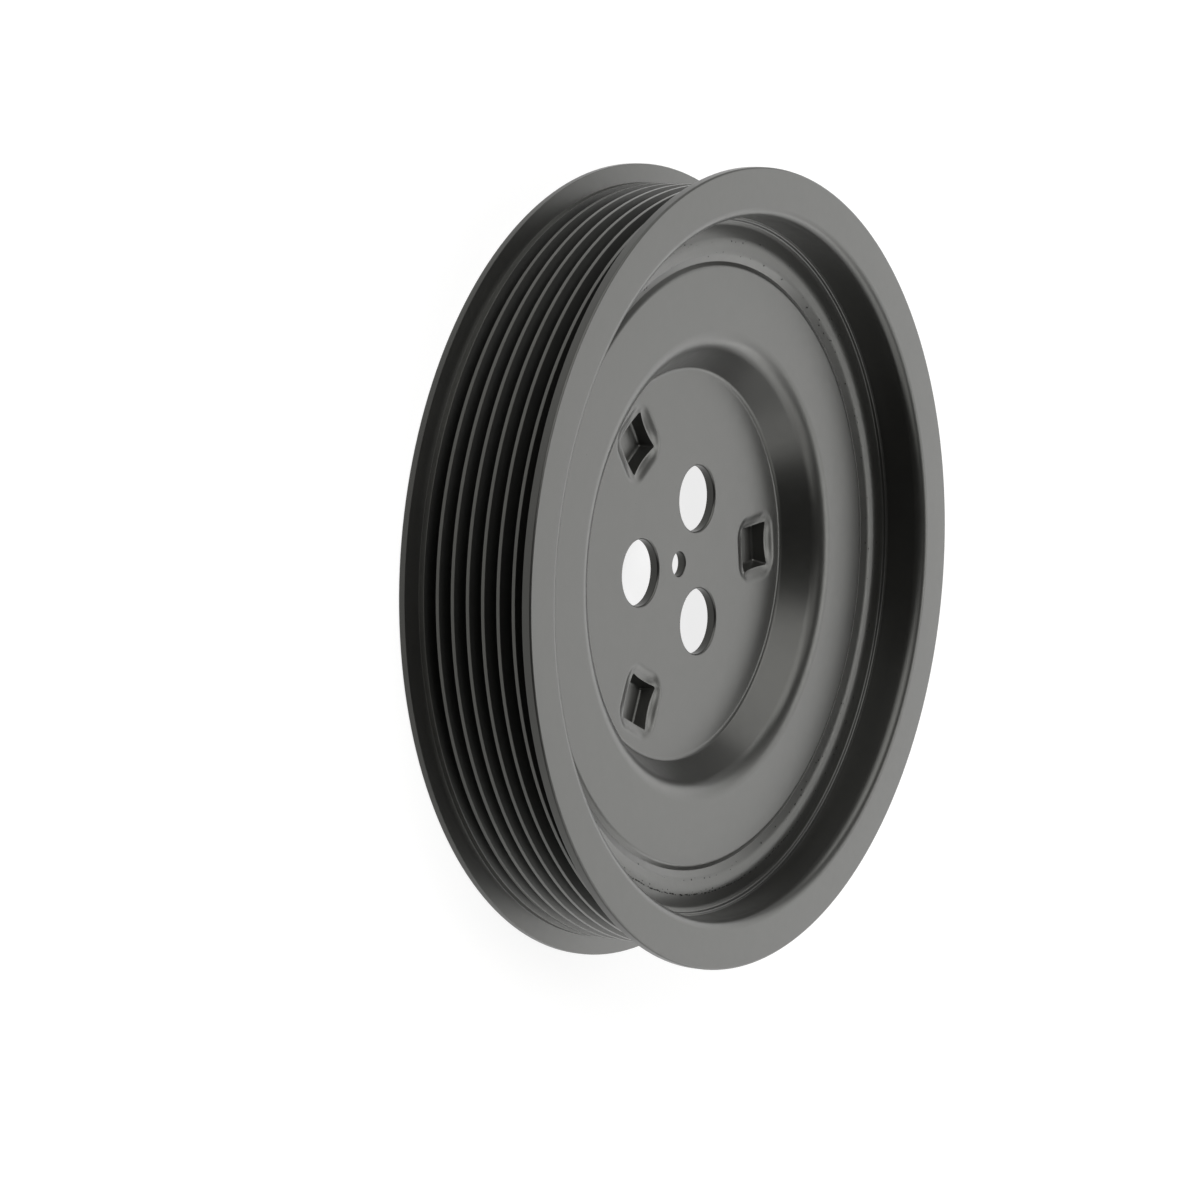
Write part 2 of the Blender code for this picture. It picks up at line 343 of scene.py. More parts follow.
class NodeRecipe:
    """A Geometry Nodes tree under construction, with named inputs."""

    def __init__(self, name: str) -> None:
        """Start a tree that takes and gives a geometry."""
        self.tree = bpy.data.node_groups.new(name, "GeometryNodeTree")
        self.tree.interface.new_socket("Geometry", in_out="OUTPUT", socket_type="NodeSocketGeometry")
        self.sockets = {"Geometry": self._socket("Geometry", "NodeSocketGeometry")}

    def _socket(self, name: str, kind: str) -> Any:
        """Add a named input and return its interface item."""
        return self.tree.interface.new_socket(name, in_out="INPUT", socket_type=kind)

    def inputs(self, **kinds: str) -> Any:
        """Add named inputs.

        Args:
            **kinds: Input name to socket kind, such as Int, Float, Material or Object.

        Returns:
            The sockets that give them to the tree, by name.
        """
        for name, kind in kinds.items():
            self.sockets[name] = self._socket(name, f"NodeSocket{kind}")
        return add_node(self.tree, "NodeGroupInput").outputs

    def add(self, kind: str, inputs: dict | None = None, **settings: Any) -> Node:
        """Add a node to the tree."""
        return add_node(self.tree, kind, inputs, **settings)

    def maths(self, operation: str, first: Any, second: Any = 0.0) -> Socket:
        """Return the result of one sum on two numbers or sockets."""
        return self.add("ShaderNodeMath", {0: first, 1: second}, operation=operation).outputs[0]

    def random(self, low: Any, high: Any, seed: Socket) -> Socket:
        """Return a random number from low to high for each point."""
        inputs = {2: low, 3: high, "Seed": seed}
        return self.add("FunctionNodeRandomValue", inputs, data_type="FLOAT").outputs[1]

    def on_circle(self, angle: Socket, radius: Socket, height: Socket) -> Socket:
        """Return the place at an angle and a height on a circle round the Z axis."""
        inputs = {
            "X": self.maths("MULTIPLY", self.maths("COSINE", angle), radius),
            "Y": self.maths("MULTIPLY", self.maths("SINE", angle), radius),
            "Z": height,
        }
        return self.add("ShaderNodeCombineXYZ", inputs).outputs[0]

    def end(self, geometry: Socket, material: Socket) -> None:
        """Realise what was made, give it its material and hand it out."""
        real = self.add("GeometryNodeRealizeInstances", {"Geometry": geometry}).outputs[0]
        dressed = self.add("GeometryNodeSetMaterial", {"Geometry": real, "Material": material})
        self.add("NodeGroupOutput", {"Geometry": dressed.outputs[0]})

    def apply_to(self, obj: Piece, **values: Any) -> Piece:
        """Run the tree on an object, and keep the result as a plain mesh.

        Args:
            obj: The object whose geometry goes in.
            **values: Values of the named inputs.

        Returns:
            The same object.
        """
        modifier = obj.modifiers.new(self.tree.name, "NODES")
        modifier.node_group = self.tree
        for name, value in values.items():
            modifier[self.sockets[name].identifier] = value
        return plain_mesh(obj)


class TurningRecipe(NodeRecipe):
    """Turns an outline, given as loose points at +X, round the Z axis into a closed skin."""

    def __init__(self) -> None:
        """Build the tree: a grid of points whose columns are turned copies of the outline."""
        super().__init__("turn_outline")
        given = self.inputs(Steps="Int", Material="Material")
        size = self.add("GeometryNodeAttributeDomainSize", {"Geometry": given["Geometry"]})
        count = size.outputs["Point Count"]
        rows = self.maths("ADD", count, 1.0)
        columns = self.maths("ADD", given["Steps"], 1.0)
        grid = self.add("GeometryNodeMeshGrid", {"Vertices X": columns, "Vertices Y": rows})
        index = self.add("GeometryNodeInputIndex").outputs[0]
        column = self.maths("FLOOR", self.maths("DIVIDE", index, rows))
        point = self.maths("MODULO", self.maths("MODULO", index, rows), count)
        place = self.add("GeometryNodeInputPosition").outputs[0]
        inputs = {"Geometry": given["Geometry"], "Value": place, "Index": point}
        sample = self.add("GeometryNodeSampleIndex", inputs, data_type="FLOAT_VECTOR")
        angle = self.maths("DIVIDE", self.maths("MULTIPLY", column, math.tau), given["Steps"])
        inputs = {"Vector": sample.outputs[0], "Angle": angle}
        turned = self.add("ShaderNodeVectorRotate", inputs, rotation_type="Z_AXIS")
        inputs = {"Geometry": grid.outputs["Mesh"], "Position": turned.outputs[0]}
        placed = self.add("GeometryNodeSetPosition", inputs)
        inputs = {"Geometry": placed.outputs[0], "Distance": MERGE_DISTANCE}
        merged = self.add("GeometryNodeMergeByDistance", inputs)
        self.end(merged.outputs[0], given["Material"])


class RingRecipe(NodeRecipe):
    """Copies a mesh round the axis at equal angles, each copy turned with its angle."""

    def __init__(self) -> None:
        """Build the tree: points on a circle, with an instance on each."""
        super().__init__("copy_round_axis")
        given = self.inputs(
            Count="Int", Radius="Float", Height="Float", First_Angle="Float", Material="Material"
        )
        index = self.add("GeometryNodeInputIndex").outputs[0]
        share = self.maths("DIVIDE", index, given["Count"])
        angle = self.maths("ADD", self.maths("MULTIPLY", share, math.tau), given["First_Angle"])
        place = self.on_circle(angle, given["Radius"], given["Height"])
        points = self.add("GeometryNodePoints", {"Count": given["Count"], "Position": place})
        copies = self.add(
            "GeometryNodeInstanceOnPoints",
            {
                "Points": points.outputs[0],
                "Instance": given["Geometry"],
                "Rotation": self.add("ShaderNodeCombineXYZ", {"Z": angle}).outputs[0],
            },
        )
        self.end(copies.outputs[0], given["Material"])


class SeamRecipe(NodeRecipe):
    """Lays short dashes along a circle, thick over one stretch of it and sparse elsewhere."""

    # Jitter of a place along the circle, in steps, and away from it, in mm.
    WOBBLE = 0.35
    STRAY = 0.10
    # Shortest and longest dash, and narrowest and widest, as shares of the one handed in.
    LENGTHS = (0.35, 1.5)
    WIDTHS = (0.6, 1.2)
    # Where the thick stretch starts to thin out, and is thin, as shares of its half width.
    FADE = (0.8, 1.3)

    def __init__(self) -> None:
        """Build the tree: jittered points on a circle, of which a random share gets a dash."""
        super().__init__("seam_dashes")
        sizes = ("Radius", "Height", "Open_Angle", "Open_Half_Width", "Open_Share", "Closed_Share")
        floats = {name: "Float" for name in sizes}
        given = self.inputs(Count="Int", Seed="Int", Material="Material", **floats)
        seeds = [self.maths("ADD", given["Seed"], float(stream)) for stream in range(1, 6)]
        index = self.add("GeometryNodeInputIndex").outputs[0]
        wobble = self.random(-self.WOBBLE, self.WOBBLE, seeds[0])
        share = self.maths("DIVIDE", self.maths("ADD", index, wobble), given["Count"])
        angle = self.maths("MULTIPLY", share, math.tau)
        stray = self.random(mm(-self.STRAY), mm(self.STRAY), seeds[1])
        place = self.on_circle(angle, self.maths("ADD", given["Radius"], stray), given["Height"])
        points = self.add("GeometryNodePoints", {"Count": given["Count"], "Position": place})
        away = self.maths("SUBTRACT", angle, given["Open_Angle"])
        wrapped = self.add("ShaderNodeMath", {0: away, 1: math.pi, 2: -math.pi}, operation="WRAP")
        starts, ends = [self.maths("MULTIPLY", given["Open_Half_Width"], at) for at in self.FADE]
        fade = {
            "Value": self.maths("ABSOLUTE", wrapped.outputs[0]),
            "From Min": starts,
            "From Max": ends,
            "To Min": given["Open_Share"],
            "To Max": given["Closed_Share"],
        }
        openness = self.add("ShaderNodeMapRange", fade).outputs[0]
        chance = self.random(0.0, 1.0, seeds[2])
        length = self.random(*self.LENGTHS, seeds[3])
        width = self.random(*self.WIDTHS, seeds[4])
        size = self.add("ShaderNodeCombineXYZ", {"X": width, "Y": length, "Z": 1.0})
        copies = self.add(
            "GeometryNodeInstanceOnPoints",
            {
                "Points": points.outputs[0],
                "Selection": self.maths("LESS_THAN", chance, openness),
                "Instance": given["Geometry"],
                "Rotation": self.add("ShaderNodeCombineXYZ", {"Z": angle}).outputs[0],
                "Scale": size.outputs[0],
            },
        )
        self.end(copies.outputs[0], given["Material"])


class PitRecipe(NodeRecipe):
    """Scatters small pits over a surface, each laid flat on it."""

    def __init__(self) -> None:
        """Build the tree: random points on the faces, with an instance on each."""
        super().__init__("scatter_pits")
        given = self.inputs(
            Pit="Object", Density="Float", Smallest="Float", Largest="Float", Seed="Int", Material="Material"
        )
        inputs = {"Mesh": given["Geometry"], "Density": given["Density"], "Seed": given["Seed"]}
        points = self.add("GeometryNodeDistributePointsOnFaces", inputs)
        pit = self.add("GeometryNodeObjectInfo", {"Object": given["Pit"]})
        copies = self.add(
            "GeometryNodeInstanceOnPoints",
            {
                "Points": points.outputs["Points"],
                "Instance": pit.outputs["Geometry"],
                "Rotation": points.outputs["Rotation"],
                "Scale": self.random(given["Smallest"], given["Largest"], given["Seed"]),
            },
        )
        self.end(copies.outputs[0], given["Material"])


@dataclass
class Rim:
    """The rim: belt track, flanges, front face, inner walls and the ledge in front.

    Its sizes, and those of the classes below, are in mm. A depth is measured from the front
    face downwards.
    """

    outer_radius: float
    width: float
    flange_height: float = 3.9
    front_flange: float = 2.0
    rear_flange: float = 1.45
    flange_wall_run: float = 0.65
    front_land: float = 0.75
    rib_count: int = 7
    rib_pitch: float = 3.56
    groove_depth: float = 2.9
    groove_root: float = 0.7
    groove_angle: float = 40.0
    wall: float = 3.4
    front_mouth: float = 2.2
    rear_mouth: float = 1.8
    edge_break: float = 0.45
    rear_break: float = 0.3
    foot_rounding: float = 0.15
    crest_rounding: float = 0.12
    groove_rounding: float = 0.3
    ledge_depth: float = 8.8
    ledge_width: float = 0.7
    ledge_step: float = 0.75
    ledge_rounding: float = 0.33
    channel_drop: float = 0.85

    @property
    def crest_radius(self) -> float:
        """Radius of the belt track's crests, in mm."""
        return self.outer_radius - self.flange_height

    @property
    def inner_radius(self) -> float:
        """Radius of the rim's inner wall, in mm."""
        return self.crest_radius - self.groove_depth - self.wall

    @property
    def channel_depth(self) -> float:
        """Depth of the channel's bottom below the front face, in mm."""
        return self.ledge_depth + self.channel_drop

    def groove_corners(self) -> list[Corner]:
        """Corners of the belt track from the front flange's foot to the rear flange's."""
        half_root = self.groove_root / 2
        half_mouth = half_root + self.groove_depth * math.tan(math.radians(self.groove_angle / 2))
        foot = self.front_flange + self.flange_wall_run
        root_radius = self.crest_radius - self.groove_depth
        corners: list[Corner] = [(self.crest_radius, foot, self.foot_rounding, 2)]
        for index in range(self.rib_count):
            middle = foot + self.front_land + half_mouth + index * self.rib_pitch
            corners += [
                (self.crest_radius, middle - half_mouth, self.crest_rounding, 2),
                (root_radius, middle - half_root, self.groove_rounding, 2),
                (root_radius, middle + half_root, self.groove_rounding, 2),
                (self.crest_radius, middle + half_mouth, self.crest_rounding, 2),
            ]
        rear_foot = self.width - self.rear_flange - self.flange_wall_run
        corners.append((self.crest_radius, rear_foot, self.foot_rounding, 2))
        return corners

    def outside_corners(self) -> list[Corner]:
        """Corners of the rim's outside, from the front face to the rear face."""
        return [
            (self.outer_radius, 0.0, self.edge_break, 4),
            (self.outer_radius, self.front_flange, self.foot_rounding, 2),
            *self.groove_corners(),
            (self.outer_radius, self.width - self.rear_flange, self.foot_rounding, 2),
            (self.outer_radius, self.width, self.rear_break, 3),
        ]

    def inside_corners(self) -> list[Corner]:
        """Corners of the rim's inside at the front, from the channel up to the front face."""
        ledge_radius = self.inner_radius - self.ledge_width
        return [
            (ledge_radius, self.ledge_depth + self.ledge_step, self.ledge_rounding, 4),
            (ledge_radius, self.ledge_depth, self.ledge_rounding, 5),
            (self.inner_radius, self.ledge_depth, self.foot_rounding, 2),
            (self.inner_radius, 0.0, self.front_mouth, 9),
        ]


@dataclass
class Ridge:
    """The raised, rough ridge between the rim's channel and the web, with pits and dashes along its outer
    side whose dark colour is painted shade.
    """

    rim: Rim
    apex_radius: float = 67.1
    apex_depth: float = 8.95
    crest_rounding: float = 5.0
    slope_radius: float = 64.8
    slope_depth: float = 9.4
    slope_rounding: float = 3.5
    crease_radius: float = 63.0
    seam_radius: float = 67.9
    seam_lift: float = 0.03
    seam_places: int = 430
    open_angle: float = 295.0
    open_half_width: float = 33.0
    pits_per_cm2: float = 24.0
    pits_inside: float = 0.8
    pits_inside_drop: float = 0.32
    pits_outside: float = 0.6
    pit_scales: Pair = (0.12, 0.42)
    channel_radius: float = 70.6
    channel_rounding: float = 1.8

    @property
    def crest_depth(self) -> float:
        """Depth of the rounded crest below the front face, in mm."""
        return self.apex_depth + 0.09

    @property
    def outer_slope(self) -> float:
        """How far the ridge goes down towards the channel, for each mm outwards."""
        return (self.rim.channel_depth - self.apex_depth) / (self.channel_radius - self.apex_radius)

    def corners(self) -> list[Corner]:
        """Corners from the ridge's inner slope out to the channel."""
        return [
            (self.slope_radius, self.slope_depth, self.slope_rounding, 5),
            (self.apex_radius, self.apex_depth, self.crest_rounding, 12),
            (self.channel_radius, self.rim.channel_depth, self.channel_rounding, 8),
        ]

    def dress(self, finish: Material, top: float) -> list[Piece]:
        """Make the pinholes on the ridge and the dashes of its seam.

        Args:
            finish: Material of the pits and the seam's dashes, whose dark colour is painted shade.
            top: Height of the front face, in metres.

        Returns:
            The two pieces.
        """
        return [self._pits(finish, top), self._seam(finish, top)]

    def _pits(self, finish: Material, top: float) -> Piece:
        """Scatter pinholes over the crest and the slope."""
        pit = new_object("one_pit", lens_mesh("one_pit", (0.5, 0.5, 0.06)))
        pit.hide_render = True
        pits = PitRecipe().apply_to(
            self._band(top),
            Pit=pit,
            Density=self.pits_per_cm2 / mm(10.0) ** 2,
            Smallest=self.pit_scales[0],
            Largest=self.pit_scales[1],
            Seed=11,
            Material=finish,
        )
        bpy.data.objects.remove(pit, do_unlink=True)
        return pits

    def _band(self, top: float) -> Piece:
        """Make the strip of surface that the pinholes lie on.

        Args:
            top: Height of the front face, in metres.

        Returns:
            The strip, an open ring of faces just over the ridge.
        """
        outside_depth = self.apex_depth + self.pits_outside * self.outer_slope
        line = [
            (self.slope_radius - self.pits_inside, self.slope_depth + self.pits_inside_drop),
            (self.slope_radius, self.slope_depth + 0.01),
            (self.apex_radius, self.crest_depth),
            (self.apex_radius + self.pits_outside, outside_depth),
        ]
        bm = bmesh.new()
        rows = []
        steps = 180
        for step in range(steps):
            turn = Matrix.Rotation(math.tau * step / steps, 3, "Z")
            points = [Vector((mm(radius), 0.0, top - mm(depth))) for radius, depth in line]
            rows.append([bm.verts.new(turn @ point) for point in points])
        for step, here in enumerate(rows):
            after = rows[(step + 1) % steps]
            for place in range(len(line) - 1):
                bm.faces.new((here[place], here[place + 1], after[place + 1], after[place]))
        mesh = bpy.data.meshes.new("ridge_pits")
        bm.to_mesh(mesh)
        bm.free()
        return new_object("ridge_pits", mesh)

    def _seam(self, finish: Material, top: float) -> Piece:
        """Lay dark dashes a little proud of the ridge's outer side, as painted shade of the crevice at its
        foot.
        """
        drop = (self.seam_radius - self.apex_radius) * self.outer_slope - self.seam_lift
        dash = new_object("ridge_seam", lens_mesh("ridge_seam", (0.16, 0.42, 0.05)))
        return SeamRecipe().apply_to(
            dash,
            Count=self.seam_places,
            Radius=mm(self.seam_radius),
            Height=top - mm(self.apex_depth + drop),
            Open_Angle=math.radians(self.open_angle),
            Open_Half_Width=math.radians(self.open_half_width),
            Open_Share=0.85,
            Closed_Share=0.06,
            Seed=5,
            Material=finish,
        )


@dataclass
class Web:
    """The web: a flat ring, a rounded shoulder and a sloping wall down to the hub."""

    ridge: Ridge
    sheet: float = 2.0
    depth: float = 9.7
    edge_rounding: float = 1.6
    crease_drop: float = 0.6
    crease_run: float = 1.1
    crease_rounding: float = 0.12
    hub_drop: float = 7.8
    hub_corner: float = 40.7
    wall_angle: float = 55.0
    shoulder_rounding: float = 5.5
    hub_fillet: float = 1.3
    centre_hole: float = 2.6
    hole_break: float = 0.2
    root_depth: float = 15.9
    root_inset: float = 1.0
    root_run: float = 3.5
    root_corner: float = 3.5
    root_rounding: float = 2.8
    ring_start: float = 22.4
    ring_step: float = 0.8
    ring_margin: float = 1.7
    rear_ring_margin: float = 2.6

    @property
    def hub_depth(self) -> float:
        """Depth of the hub's face below the front face, in mm."""
        return self.depth + self.hub_drop

    @property
    def shoulder_radius(self) -> float:
        """Radius of the shoulder's corner, in mm."""
        return self.hub_corner + self.hub_drop / math.tan(math.radians(self.wall_angle))

    def _rings(self, depth: float, last: float) -> list[Corner]:
        """Points across the hub's flat face, so that the pockets can be pressed into it."""
        count = int((last - self.ring_start) / self.ring_step) + 1
        return [(self.ring_start + index * self.ring_step, depth, 0.0, 0) for index in range(count)]

    def front_corners(self) -> list[Corner]:
        """Corners of the front, from the centre hole out to the crease."""
        crease_radius = self.ridge.crease_radius
        return [
            (self.centre_hole, self.hub_depth, self.hole_break, 3),
            *self._rings(self.hub_depth, self.hub_corner - self.ring_margin),
            (self.hub_corner, self.hub_depth, self.hub_fillet, 6),
            (self.shoulder_radius, self.depth, self.shoulder_rounding, 12),
            (crease_radius - self.crease_run, self.depth, self.edge_rounding, 5),
            (crease_radius, self.depth + self.crease_drop, self.crease_rounding, 2),
        ]

    def rear_corners(self) -> list[Corner]:
        """Corners of the rear, from the rim's rear face to the centre hole."""
        rim = self.ridge.rim
        shift = self.sheet * math.tan(math.radians(self.wall_angle / 2))
        root_inner = self.ridge.crease_radius - self.root_inset
        back, hub_back = self.depth + self.sheet, self.hub_depth + self.sheet
        return [
            (rim.inner_radius, rim.width, rim.rear_mouth, 7),
            (rim.inner_radius, self.root_depth, self.root_corner, 8),
            (root_inner, self.root_depth, self.root_rounding, 6),
            (root_inner - self.root_run, back, self.root_rounding, 6),
            (self.shoulder_radius + shift, back, self.shoulder_rounding - self.sheet, 8),
            (self.hub_corner + shift, hub_back, self.hub_fillet + self.sheet, 10),
            *reversed(self._rings(hub_back, self.hub_corner - self.rear_ring_margin)),
            (self.centre_hole, hub_back, self.hole_break, 3),
        ]


@dataclass
class Hub:
    """What is punched and pressed into the hub: bolt holes and square pockets.

    The punches bulge the sheet inwards before they go through it, so each pocket lies in a
    shallow press mark with a rounded outline, and its mouth's sides are rolled down.
    """

    web: Web
    top: float
    count: int = 3
    bolt_circle: float = 14.9
    bolt_hole: float = 6.9
    bolt_edge: float = 0.5
    first_bolt: float = 90.0
    pocket_circle: float = 30.8
    pocket_turn: float = 60.0
    pocket_skew: float = 4.0
    pocket_depth: float = 3.4
    mouth_half: float = 4.8
    floor_half: float = 3.9
    pocket_corner: float = 0.5
    press_half: float = 7.4
    press_corner: float = 4.8
    press_depth: float = 0.3
    press_run: float = 1.7
    roll_depth: float = 0.5
    boss_rounding: float = 1.6
    overrun: float = 1.0
    slack: float = 0.1

    @property
    def face_height(self) -> float:
        """Height of the hub's front face, in metres."""
        return self.top - mm(self.web.hub_depth)

    def pocket_places(self) -> list[tuple[float, float, float]]:
        """Centre (x, y) in metres and turn in radians of each pocket."""
        places = []
        for index in range(self.count):
            angle = math.radians(self.first_bolt + self.pocket_turn + 360.0 * index / self.count)
            reach = mm(self.pocket_circle)
            turn = angle + math.radians(self.pocket_skew)
            places.append((reach * math.cos(angle), reach * math.sin(angle), turn))
        return places

    def press(self, body: Piece) -> None:
        """Press the sheet down round each pocket, on both of its faces.

        Args:
            body: The turned pulley.
        """
        bm = bmesh.new()
        bm.from_mesh(body.data)
        faces = [face for face in bm.faces if self._near_pocket(face.calc_center_median())]
        edges = {edge for face in faces for edge in face.edges}
        bmesh.ops.subdivide_edges(bm, edges=list(edges), cuts=2, use_grid_fill=True)
        for vertex in bm.verts:
            if self._near_pocket(vertex.co):
                vertex.co.z -= self._press_at(vertex.co)
        bm.to_mesh(body.data)
        bm.free()

    def _near_pocket(self, place: Vector) -> bool:
        """Tell whether a point lies on the hub's sheet, close to a pocket."""
        if not -mm(self.web.sheet + self.slack) < place.z - self.face_height < mm(self.slack):
            return False
        reach = mm(self.press_half * 1.3)
        return any(math.hypot(place.x - x, place.y - y) < reach for x, y, _ in self.pocket_places())

    def _press_at(self, place: Vector) -> float:
        """Work out how far the sheet is pressed down at a point.

        Args:
            place: The point, in metres.

        Returns:
            The way down, in metres.
        """
        x, y, turn = min(
            self.pocket_places(), key=lambda spot: math.hypot(place.x - spot[0], place.y - spot[1])
        )
        along, across = place.x - x, place.y - y
        u = abs(along * math.cos(turn) + across * math.sin(turn)) / mm(1.0)
        v = abs(across * math.cos(turn) - along * math.sin(turn)) / mm(1.0)
        straight = self.press_half - self.press_corner
        round_off = math.hypot(max(u - straight, 0.0), max(v - straight, 0.0))
        inside = self.press_corner - round_off - min(max(u - straight, v - straight), 0.0)
        share = min(max(inside / self.press_run, 0.0), 1.0)
        stepped = self.press_depth * share * share * (3.0 - 2.0 * share)
        beyond = (max(u, v) - self.mouth_half) / (self.press_half - self.mouth_half)
        beyond = min(max(beyond, 0.0), 1.0)
        middle = max(1.0 - (min(u, v) / self.mouth_half) ** 2, 0.0)
        return mm(stepped + self.roll_depth * middle * (1.0 - beyond) ** 2)

    def punch(self, body: Piece, finish: Material) -> None:
        """Cut the holes and press the pockets into the pulley.

        Args:
            body: The turned pulley.
            finish: Material of the new faces.
        """
        ring = RingRecipe()
        sheet, over = self.web.sheet, self.overrun
        pocket_angle = self.first_bolt + self.pocket_turn
        boss_top, boss_bottom = -sheet / 2 - self.press_depth, -self.pocket_depth - sheet
        boss_halves = self._half_at(sheet / 2) + sheet, self.floor_half + sheet
        boss = self._block("boss", boss_halves, (boss_top, boss_bottom), self.boss_rounding, 6)
        punch_halves = self._half_at(-over), self.floor_half
        punch_heights = over, -self.pocket_depth
        punch = self._block("punch", punch_halves, punch_heights, self.pocket_corner, 4)
        drill = outline_object("drill", self._drill_outline())
        TurningRecipe().apply_to(drill, Steps=72, Material=finish)
        tools = (
            (boss, self.pocket_circle, pocket_angle, "UNION"),
            (punch, self.pocket_circle, pocket_angle, "DIFFERENCE"),
            (drill, self.bolt_circle, self.first_bolt, "DIFFERENCE"),
        )
        for tool, radius, degrees, _ in tools:
            ring.apply_to(
                tool,
                Count=self.count,
                Radius=mm(radius),
                Height=self.face_height,
                First_Angle=math.radians(degrees),
                Material=finish,
            )
        for tool, _, _, operation in tools:
            modifier = body.modifiers.new(tool.name, "BOOLEAN")
            modifier.object = tool
            modifier.operation = operation
            modifier.solver = "EXACT"
        plain_mesh(body)
        for tool, *_ in tools:
            bpy.data.objects.remove(tool, do_unlink=True)

    def _half_at(self, depth: float) -> float:
        """Return half of a pocket's width at a depth below the hub's face, in mm."""
        return self.mouth_half - (self.mouth_half - self.floor_half) * depth / self.pocket_depth

    def _drill_outline(self) -> list[Vector]:
        """Half section of a bolt hole whose front edge is rounded over."""
        wide = self.bolt_hole + self.bolt_edge
        points = [(0.0, self.overrun), (wide, self.overrun)]
        steps = 6
        for step in range(steps + 1):
            angle = math.pi / 2 * step / steps
            sideways = self.bolt_edge * (1 - math.sin(angle))
            points.append((self.bolt_hole + sideways, -self.bolt_edge * (1 - math.cos(angle))))
        end = -self.web.sheet - self.overrun
        points += [(self.bolt_hole, end), (0.0, end)]
        return [Vector((mm(radius), mm(height))) for radius, height in points]

    def _block(self, name: str, halves: Pair, heights: Pair, rounding: float, segments: int) -> Piece:
        """Make a square block that narrows downwards, with its upright and bottom edges rounded.

        Args:
            name: The block's name.
            halves: Half its width at the top and at the bottom, in mm.
            heights: Height of its top and of its bottom over the hub's face, in mm.
            rounding: How far each rounding reaches from its edge, in mm.
            segments: How many faces a rounding has.

        Returns:
            The block, centred on the Z axis.
        """
        mesh = bpy.data.meshes.new(name)
        turn = Matrix.Rotation(math.radians(self.pocket_skew), 3, "Z")
        bm = bmesh.new()
        bmesh.ops.create_cube(bm, size=2.0)
        for vertex in bm.verts:
            end = 0 if vertex.co.z > 0 else 1
            half, height = mm(halves[end]), mm(heights[end])
            vertex.co = turn @ Vector((vertex.co.x * half, vertex.co.y * half, height))
        below_top = mm(heights[0]) - 1e-6
        edges = [edge for edge in bm.edges if min(v.co.z for v in edge.verts) < below_top]
        bmesh.ops.bevel(
            bm, geom=edges, offset=mm(rounding), segments=segments, profile=0.5, affect="EDGES"
        )
        bm.to_mesh(mesh)
        bm.free()
        return new_object(name, mesh)


@dataclass
class PulleyBody:
    """The whole pulley: rim, ridge, web and hub in one skin."""

    rim: Rim
    ridge: Ridge
    web: Web
    hub: Hub
    steps: int = 192
    smooth_angle: float = 30.0
    ridge_skirt: float = 1.6
    zone_slack: float = 0.1
    crest_band: float = 0.08
    crest_reach: float = 0.2

    def build(self, finishes: dict[Zone, Material]) -> Piece:
        """Turn the outline, punch the hub and give each zone its finish.

        Args:
            finishes: A material for each zone.

        Returns:
            The finished piece.
        """
        corners = [
            *self.rim.outside_corners(),
            *self.web.rear_corners(),
            *self.web.front_corners(),
            *self.ridge.corners(),
            *self.rim.inside_corners(),
        ]
        outline = rounded_outline(corners, self.hub.top)
        body = outline_object("pulley_body", outline)
        TurningRecipe().apply_to(body, Steps=self.steps, Material=finishes[Zone.PRESSED])
        self.hub.press(body)
        self.hub.punch(body, finishes[Zone.PRESSED])
        body.data.materials.clear()
        for zone in Zone:
            body.data.materials.append(finishes[zone])
        for face in body.data.polygons:
            face.material_index = self._zone_of(face.center).value
        body.data.shade_smooth()
        body.data.set_sharp_from_angle(angle=math.radians(self.smooth_angle))
        weighted = body.modifiers.new("face_weighted_normals", "WEIGHTED_NORMAL")
        weighted.keep_sharp = True
        weighted.weight = 100
        return body

    def _zone_of(self, place: Vector) -> Zone:
        """Tell which zone a point of the surface lies in.

        Args:
            place: The point, in metres.

        Returns:
            The zone.
        """
        rim, ridge, slack = self.rim, self.ridge, self.zone_slack
        radius = math.hypot(place.x, place.y) / mm(1.0)
        depth = (self.hub.top - place.z) / mm(1.0)
        crest = rim.crest_radius
        in_front = depth < rim.channel_depth + slack
        if in_front and ridge.crease_radius < radius < ridge.apex_radius + self.ridge_skirt:
            return Zone.RIDGE
        if rim.front_flange < depth < rim.width - rim.rear_flange:
            # The groove flanks, whose coat carries painted shade.
            if crest - rim.groove_depth - slack < radius < crest - self.crest_band:
                return Zone.GROOVE
            # The groove crests, whose coat carries a painted highlight.
            if crest - self.crest_reach < radius < crest + slack / 5:
                return Zone.CREST
        if radius > rim.inner_radius - slack / 10 or (in_front and radius > ridge.channel_radius):
            return Zone.TURNED
        return Zone.PRESSED


@dataclass
class Lamp:
    """A softbox at a direction round the pulley, aimed at its middle.

    Angles are in degrees and lengths in metres. Its radiance is what the coat mirrors, where
    1 is white, so it doesn't change with the lamp's size.
    """

    name: str
    azimuth: float
    elevation: float
    width: float
    radiance: float
    height: float = 0.42
    distance: float = 1.2

    def build(self, target: Vector) -> Piece:
        """Make the lamp.

        Args:
            target: What it is aimed at.

        Returns:
            The lamp's object.
        """
        data = bpy.data.lights.new(self.name, "AREA")
        data.shape = "RECTANGLE"
        data.size = self.width
        data.size_y = self.height
        data.energy = self.radiance * math.pi * self.width * self.height
        lamp = new_object(self.name, data)
        turn, rise = math.radians(self.azimuth), math.radians(self.elevation)
        level = math.cos(rise)
        direction = Vector((math.cos(turn) * level, math.sin(turn) * level, math.sin(rise)))
        lamp.location = target + direction * self.distance
        lamp.rotation_euler = (-direction).to_track_quat("-Z", "Y").to_euler()
        return lamp


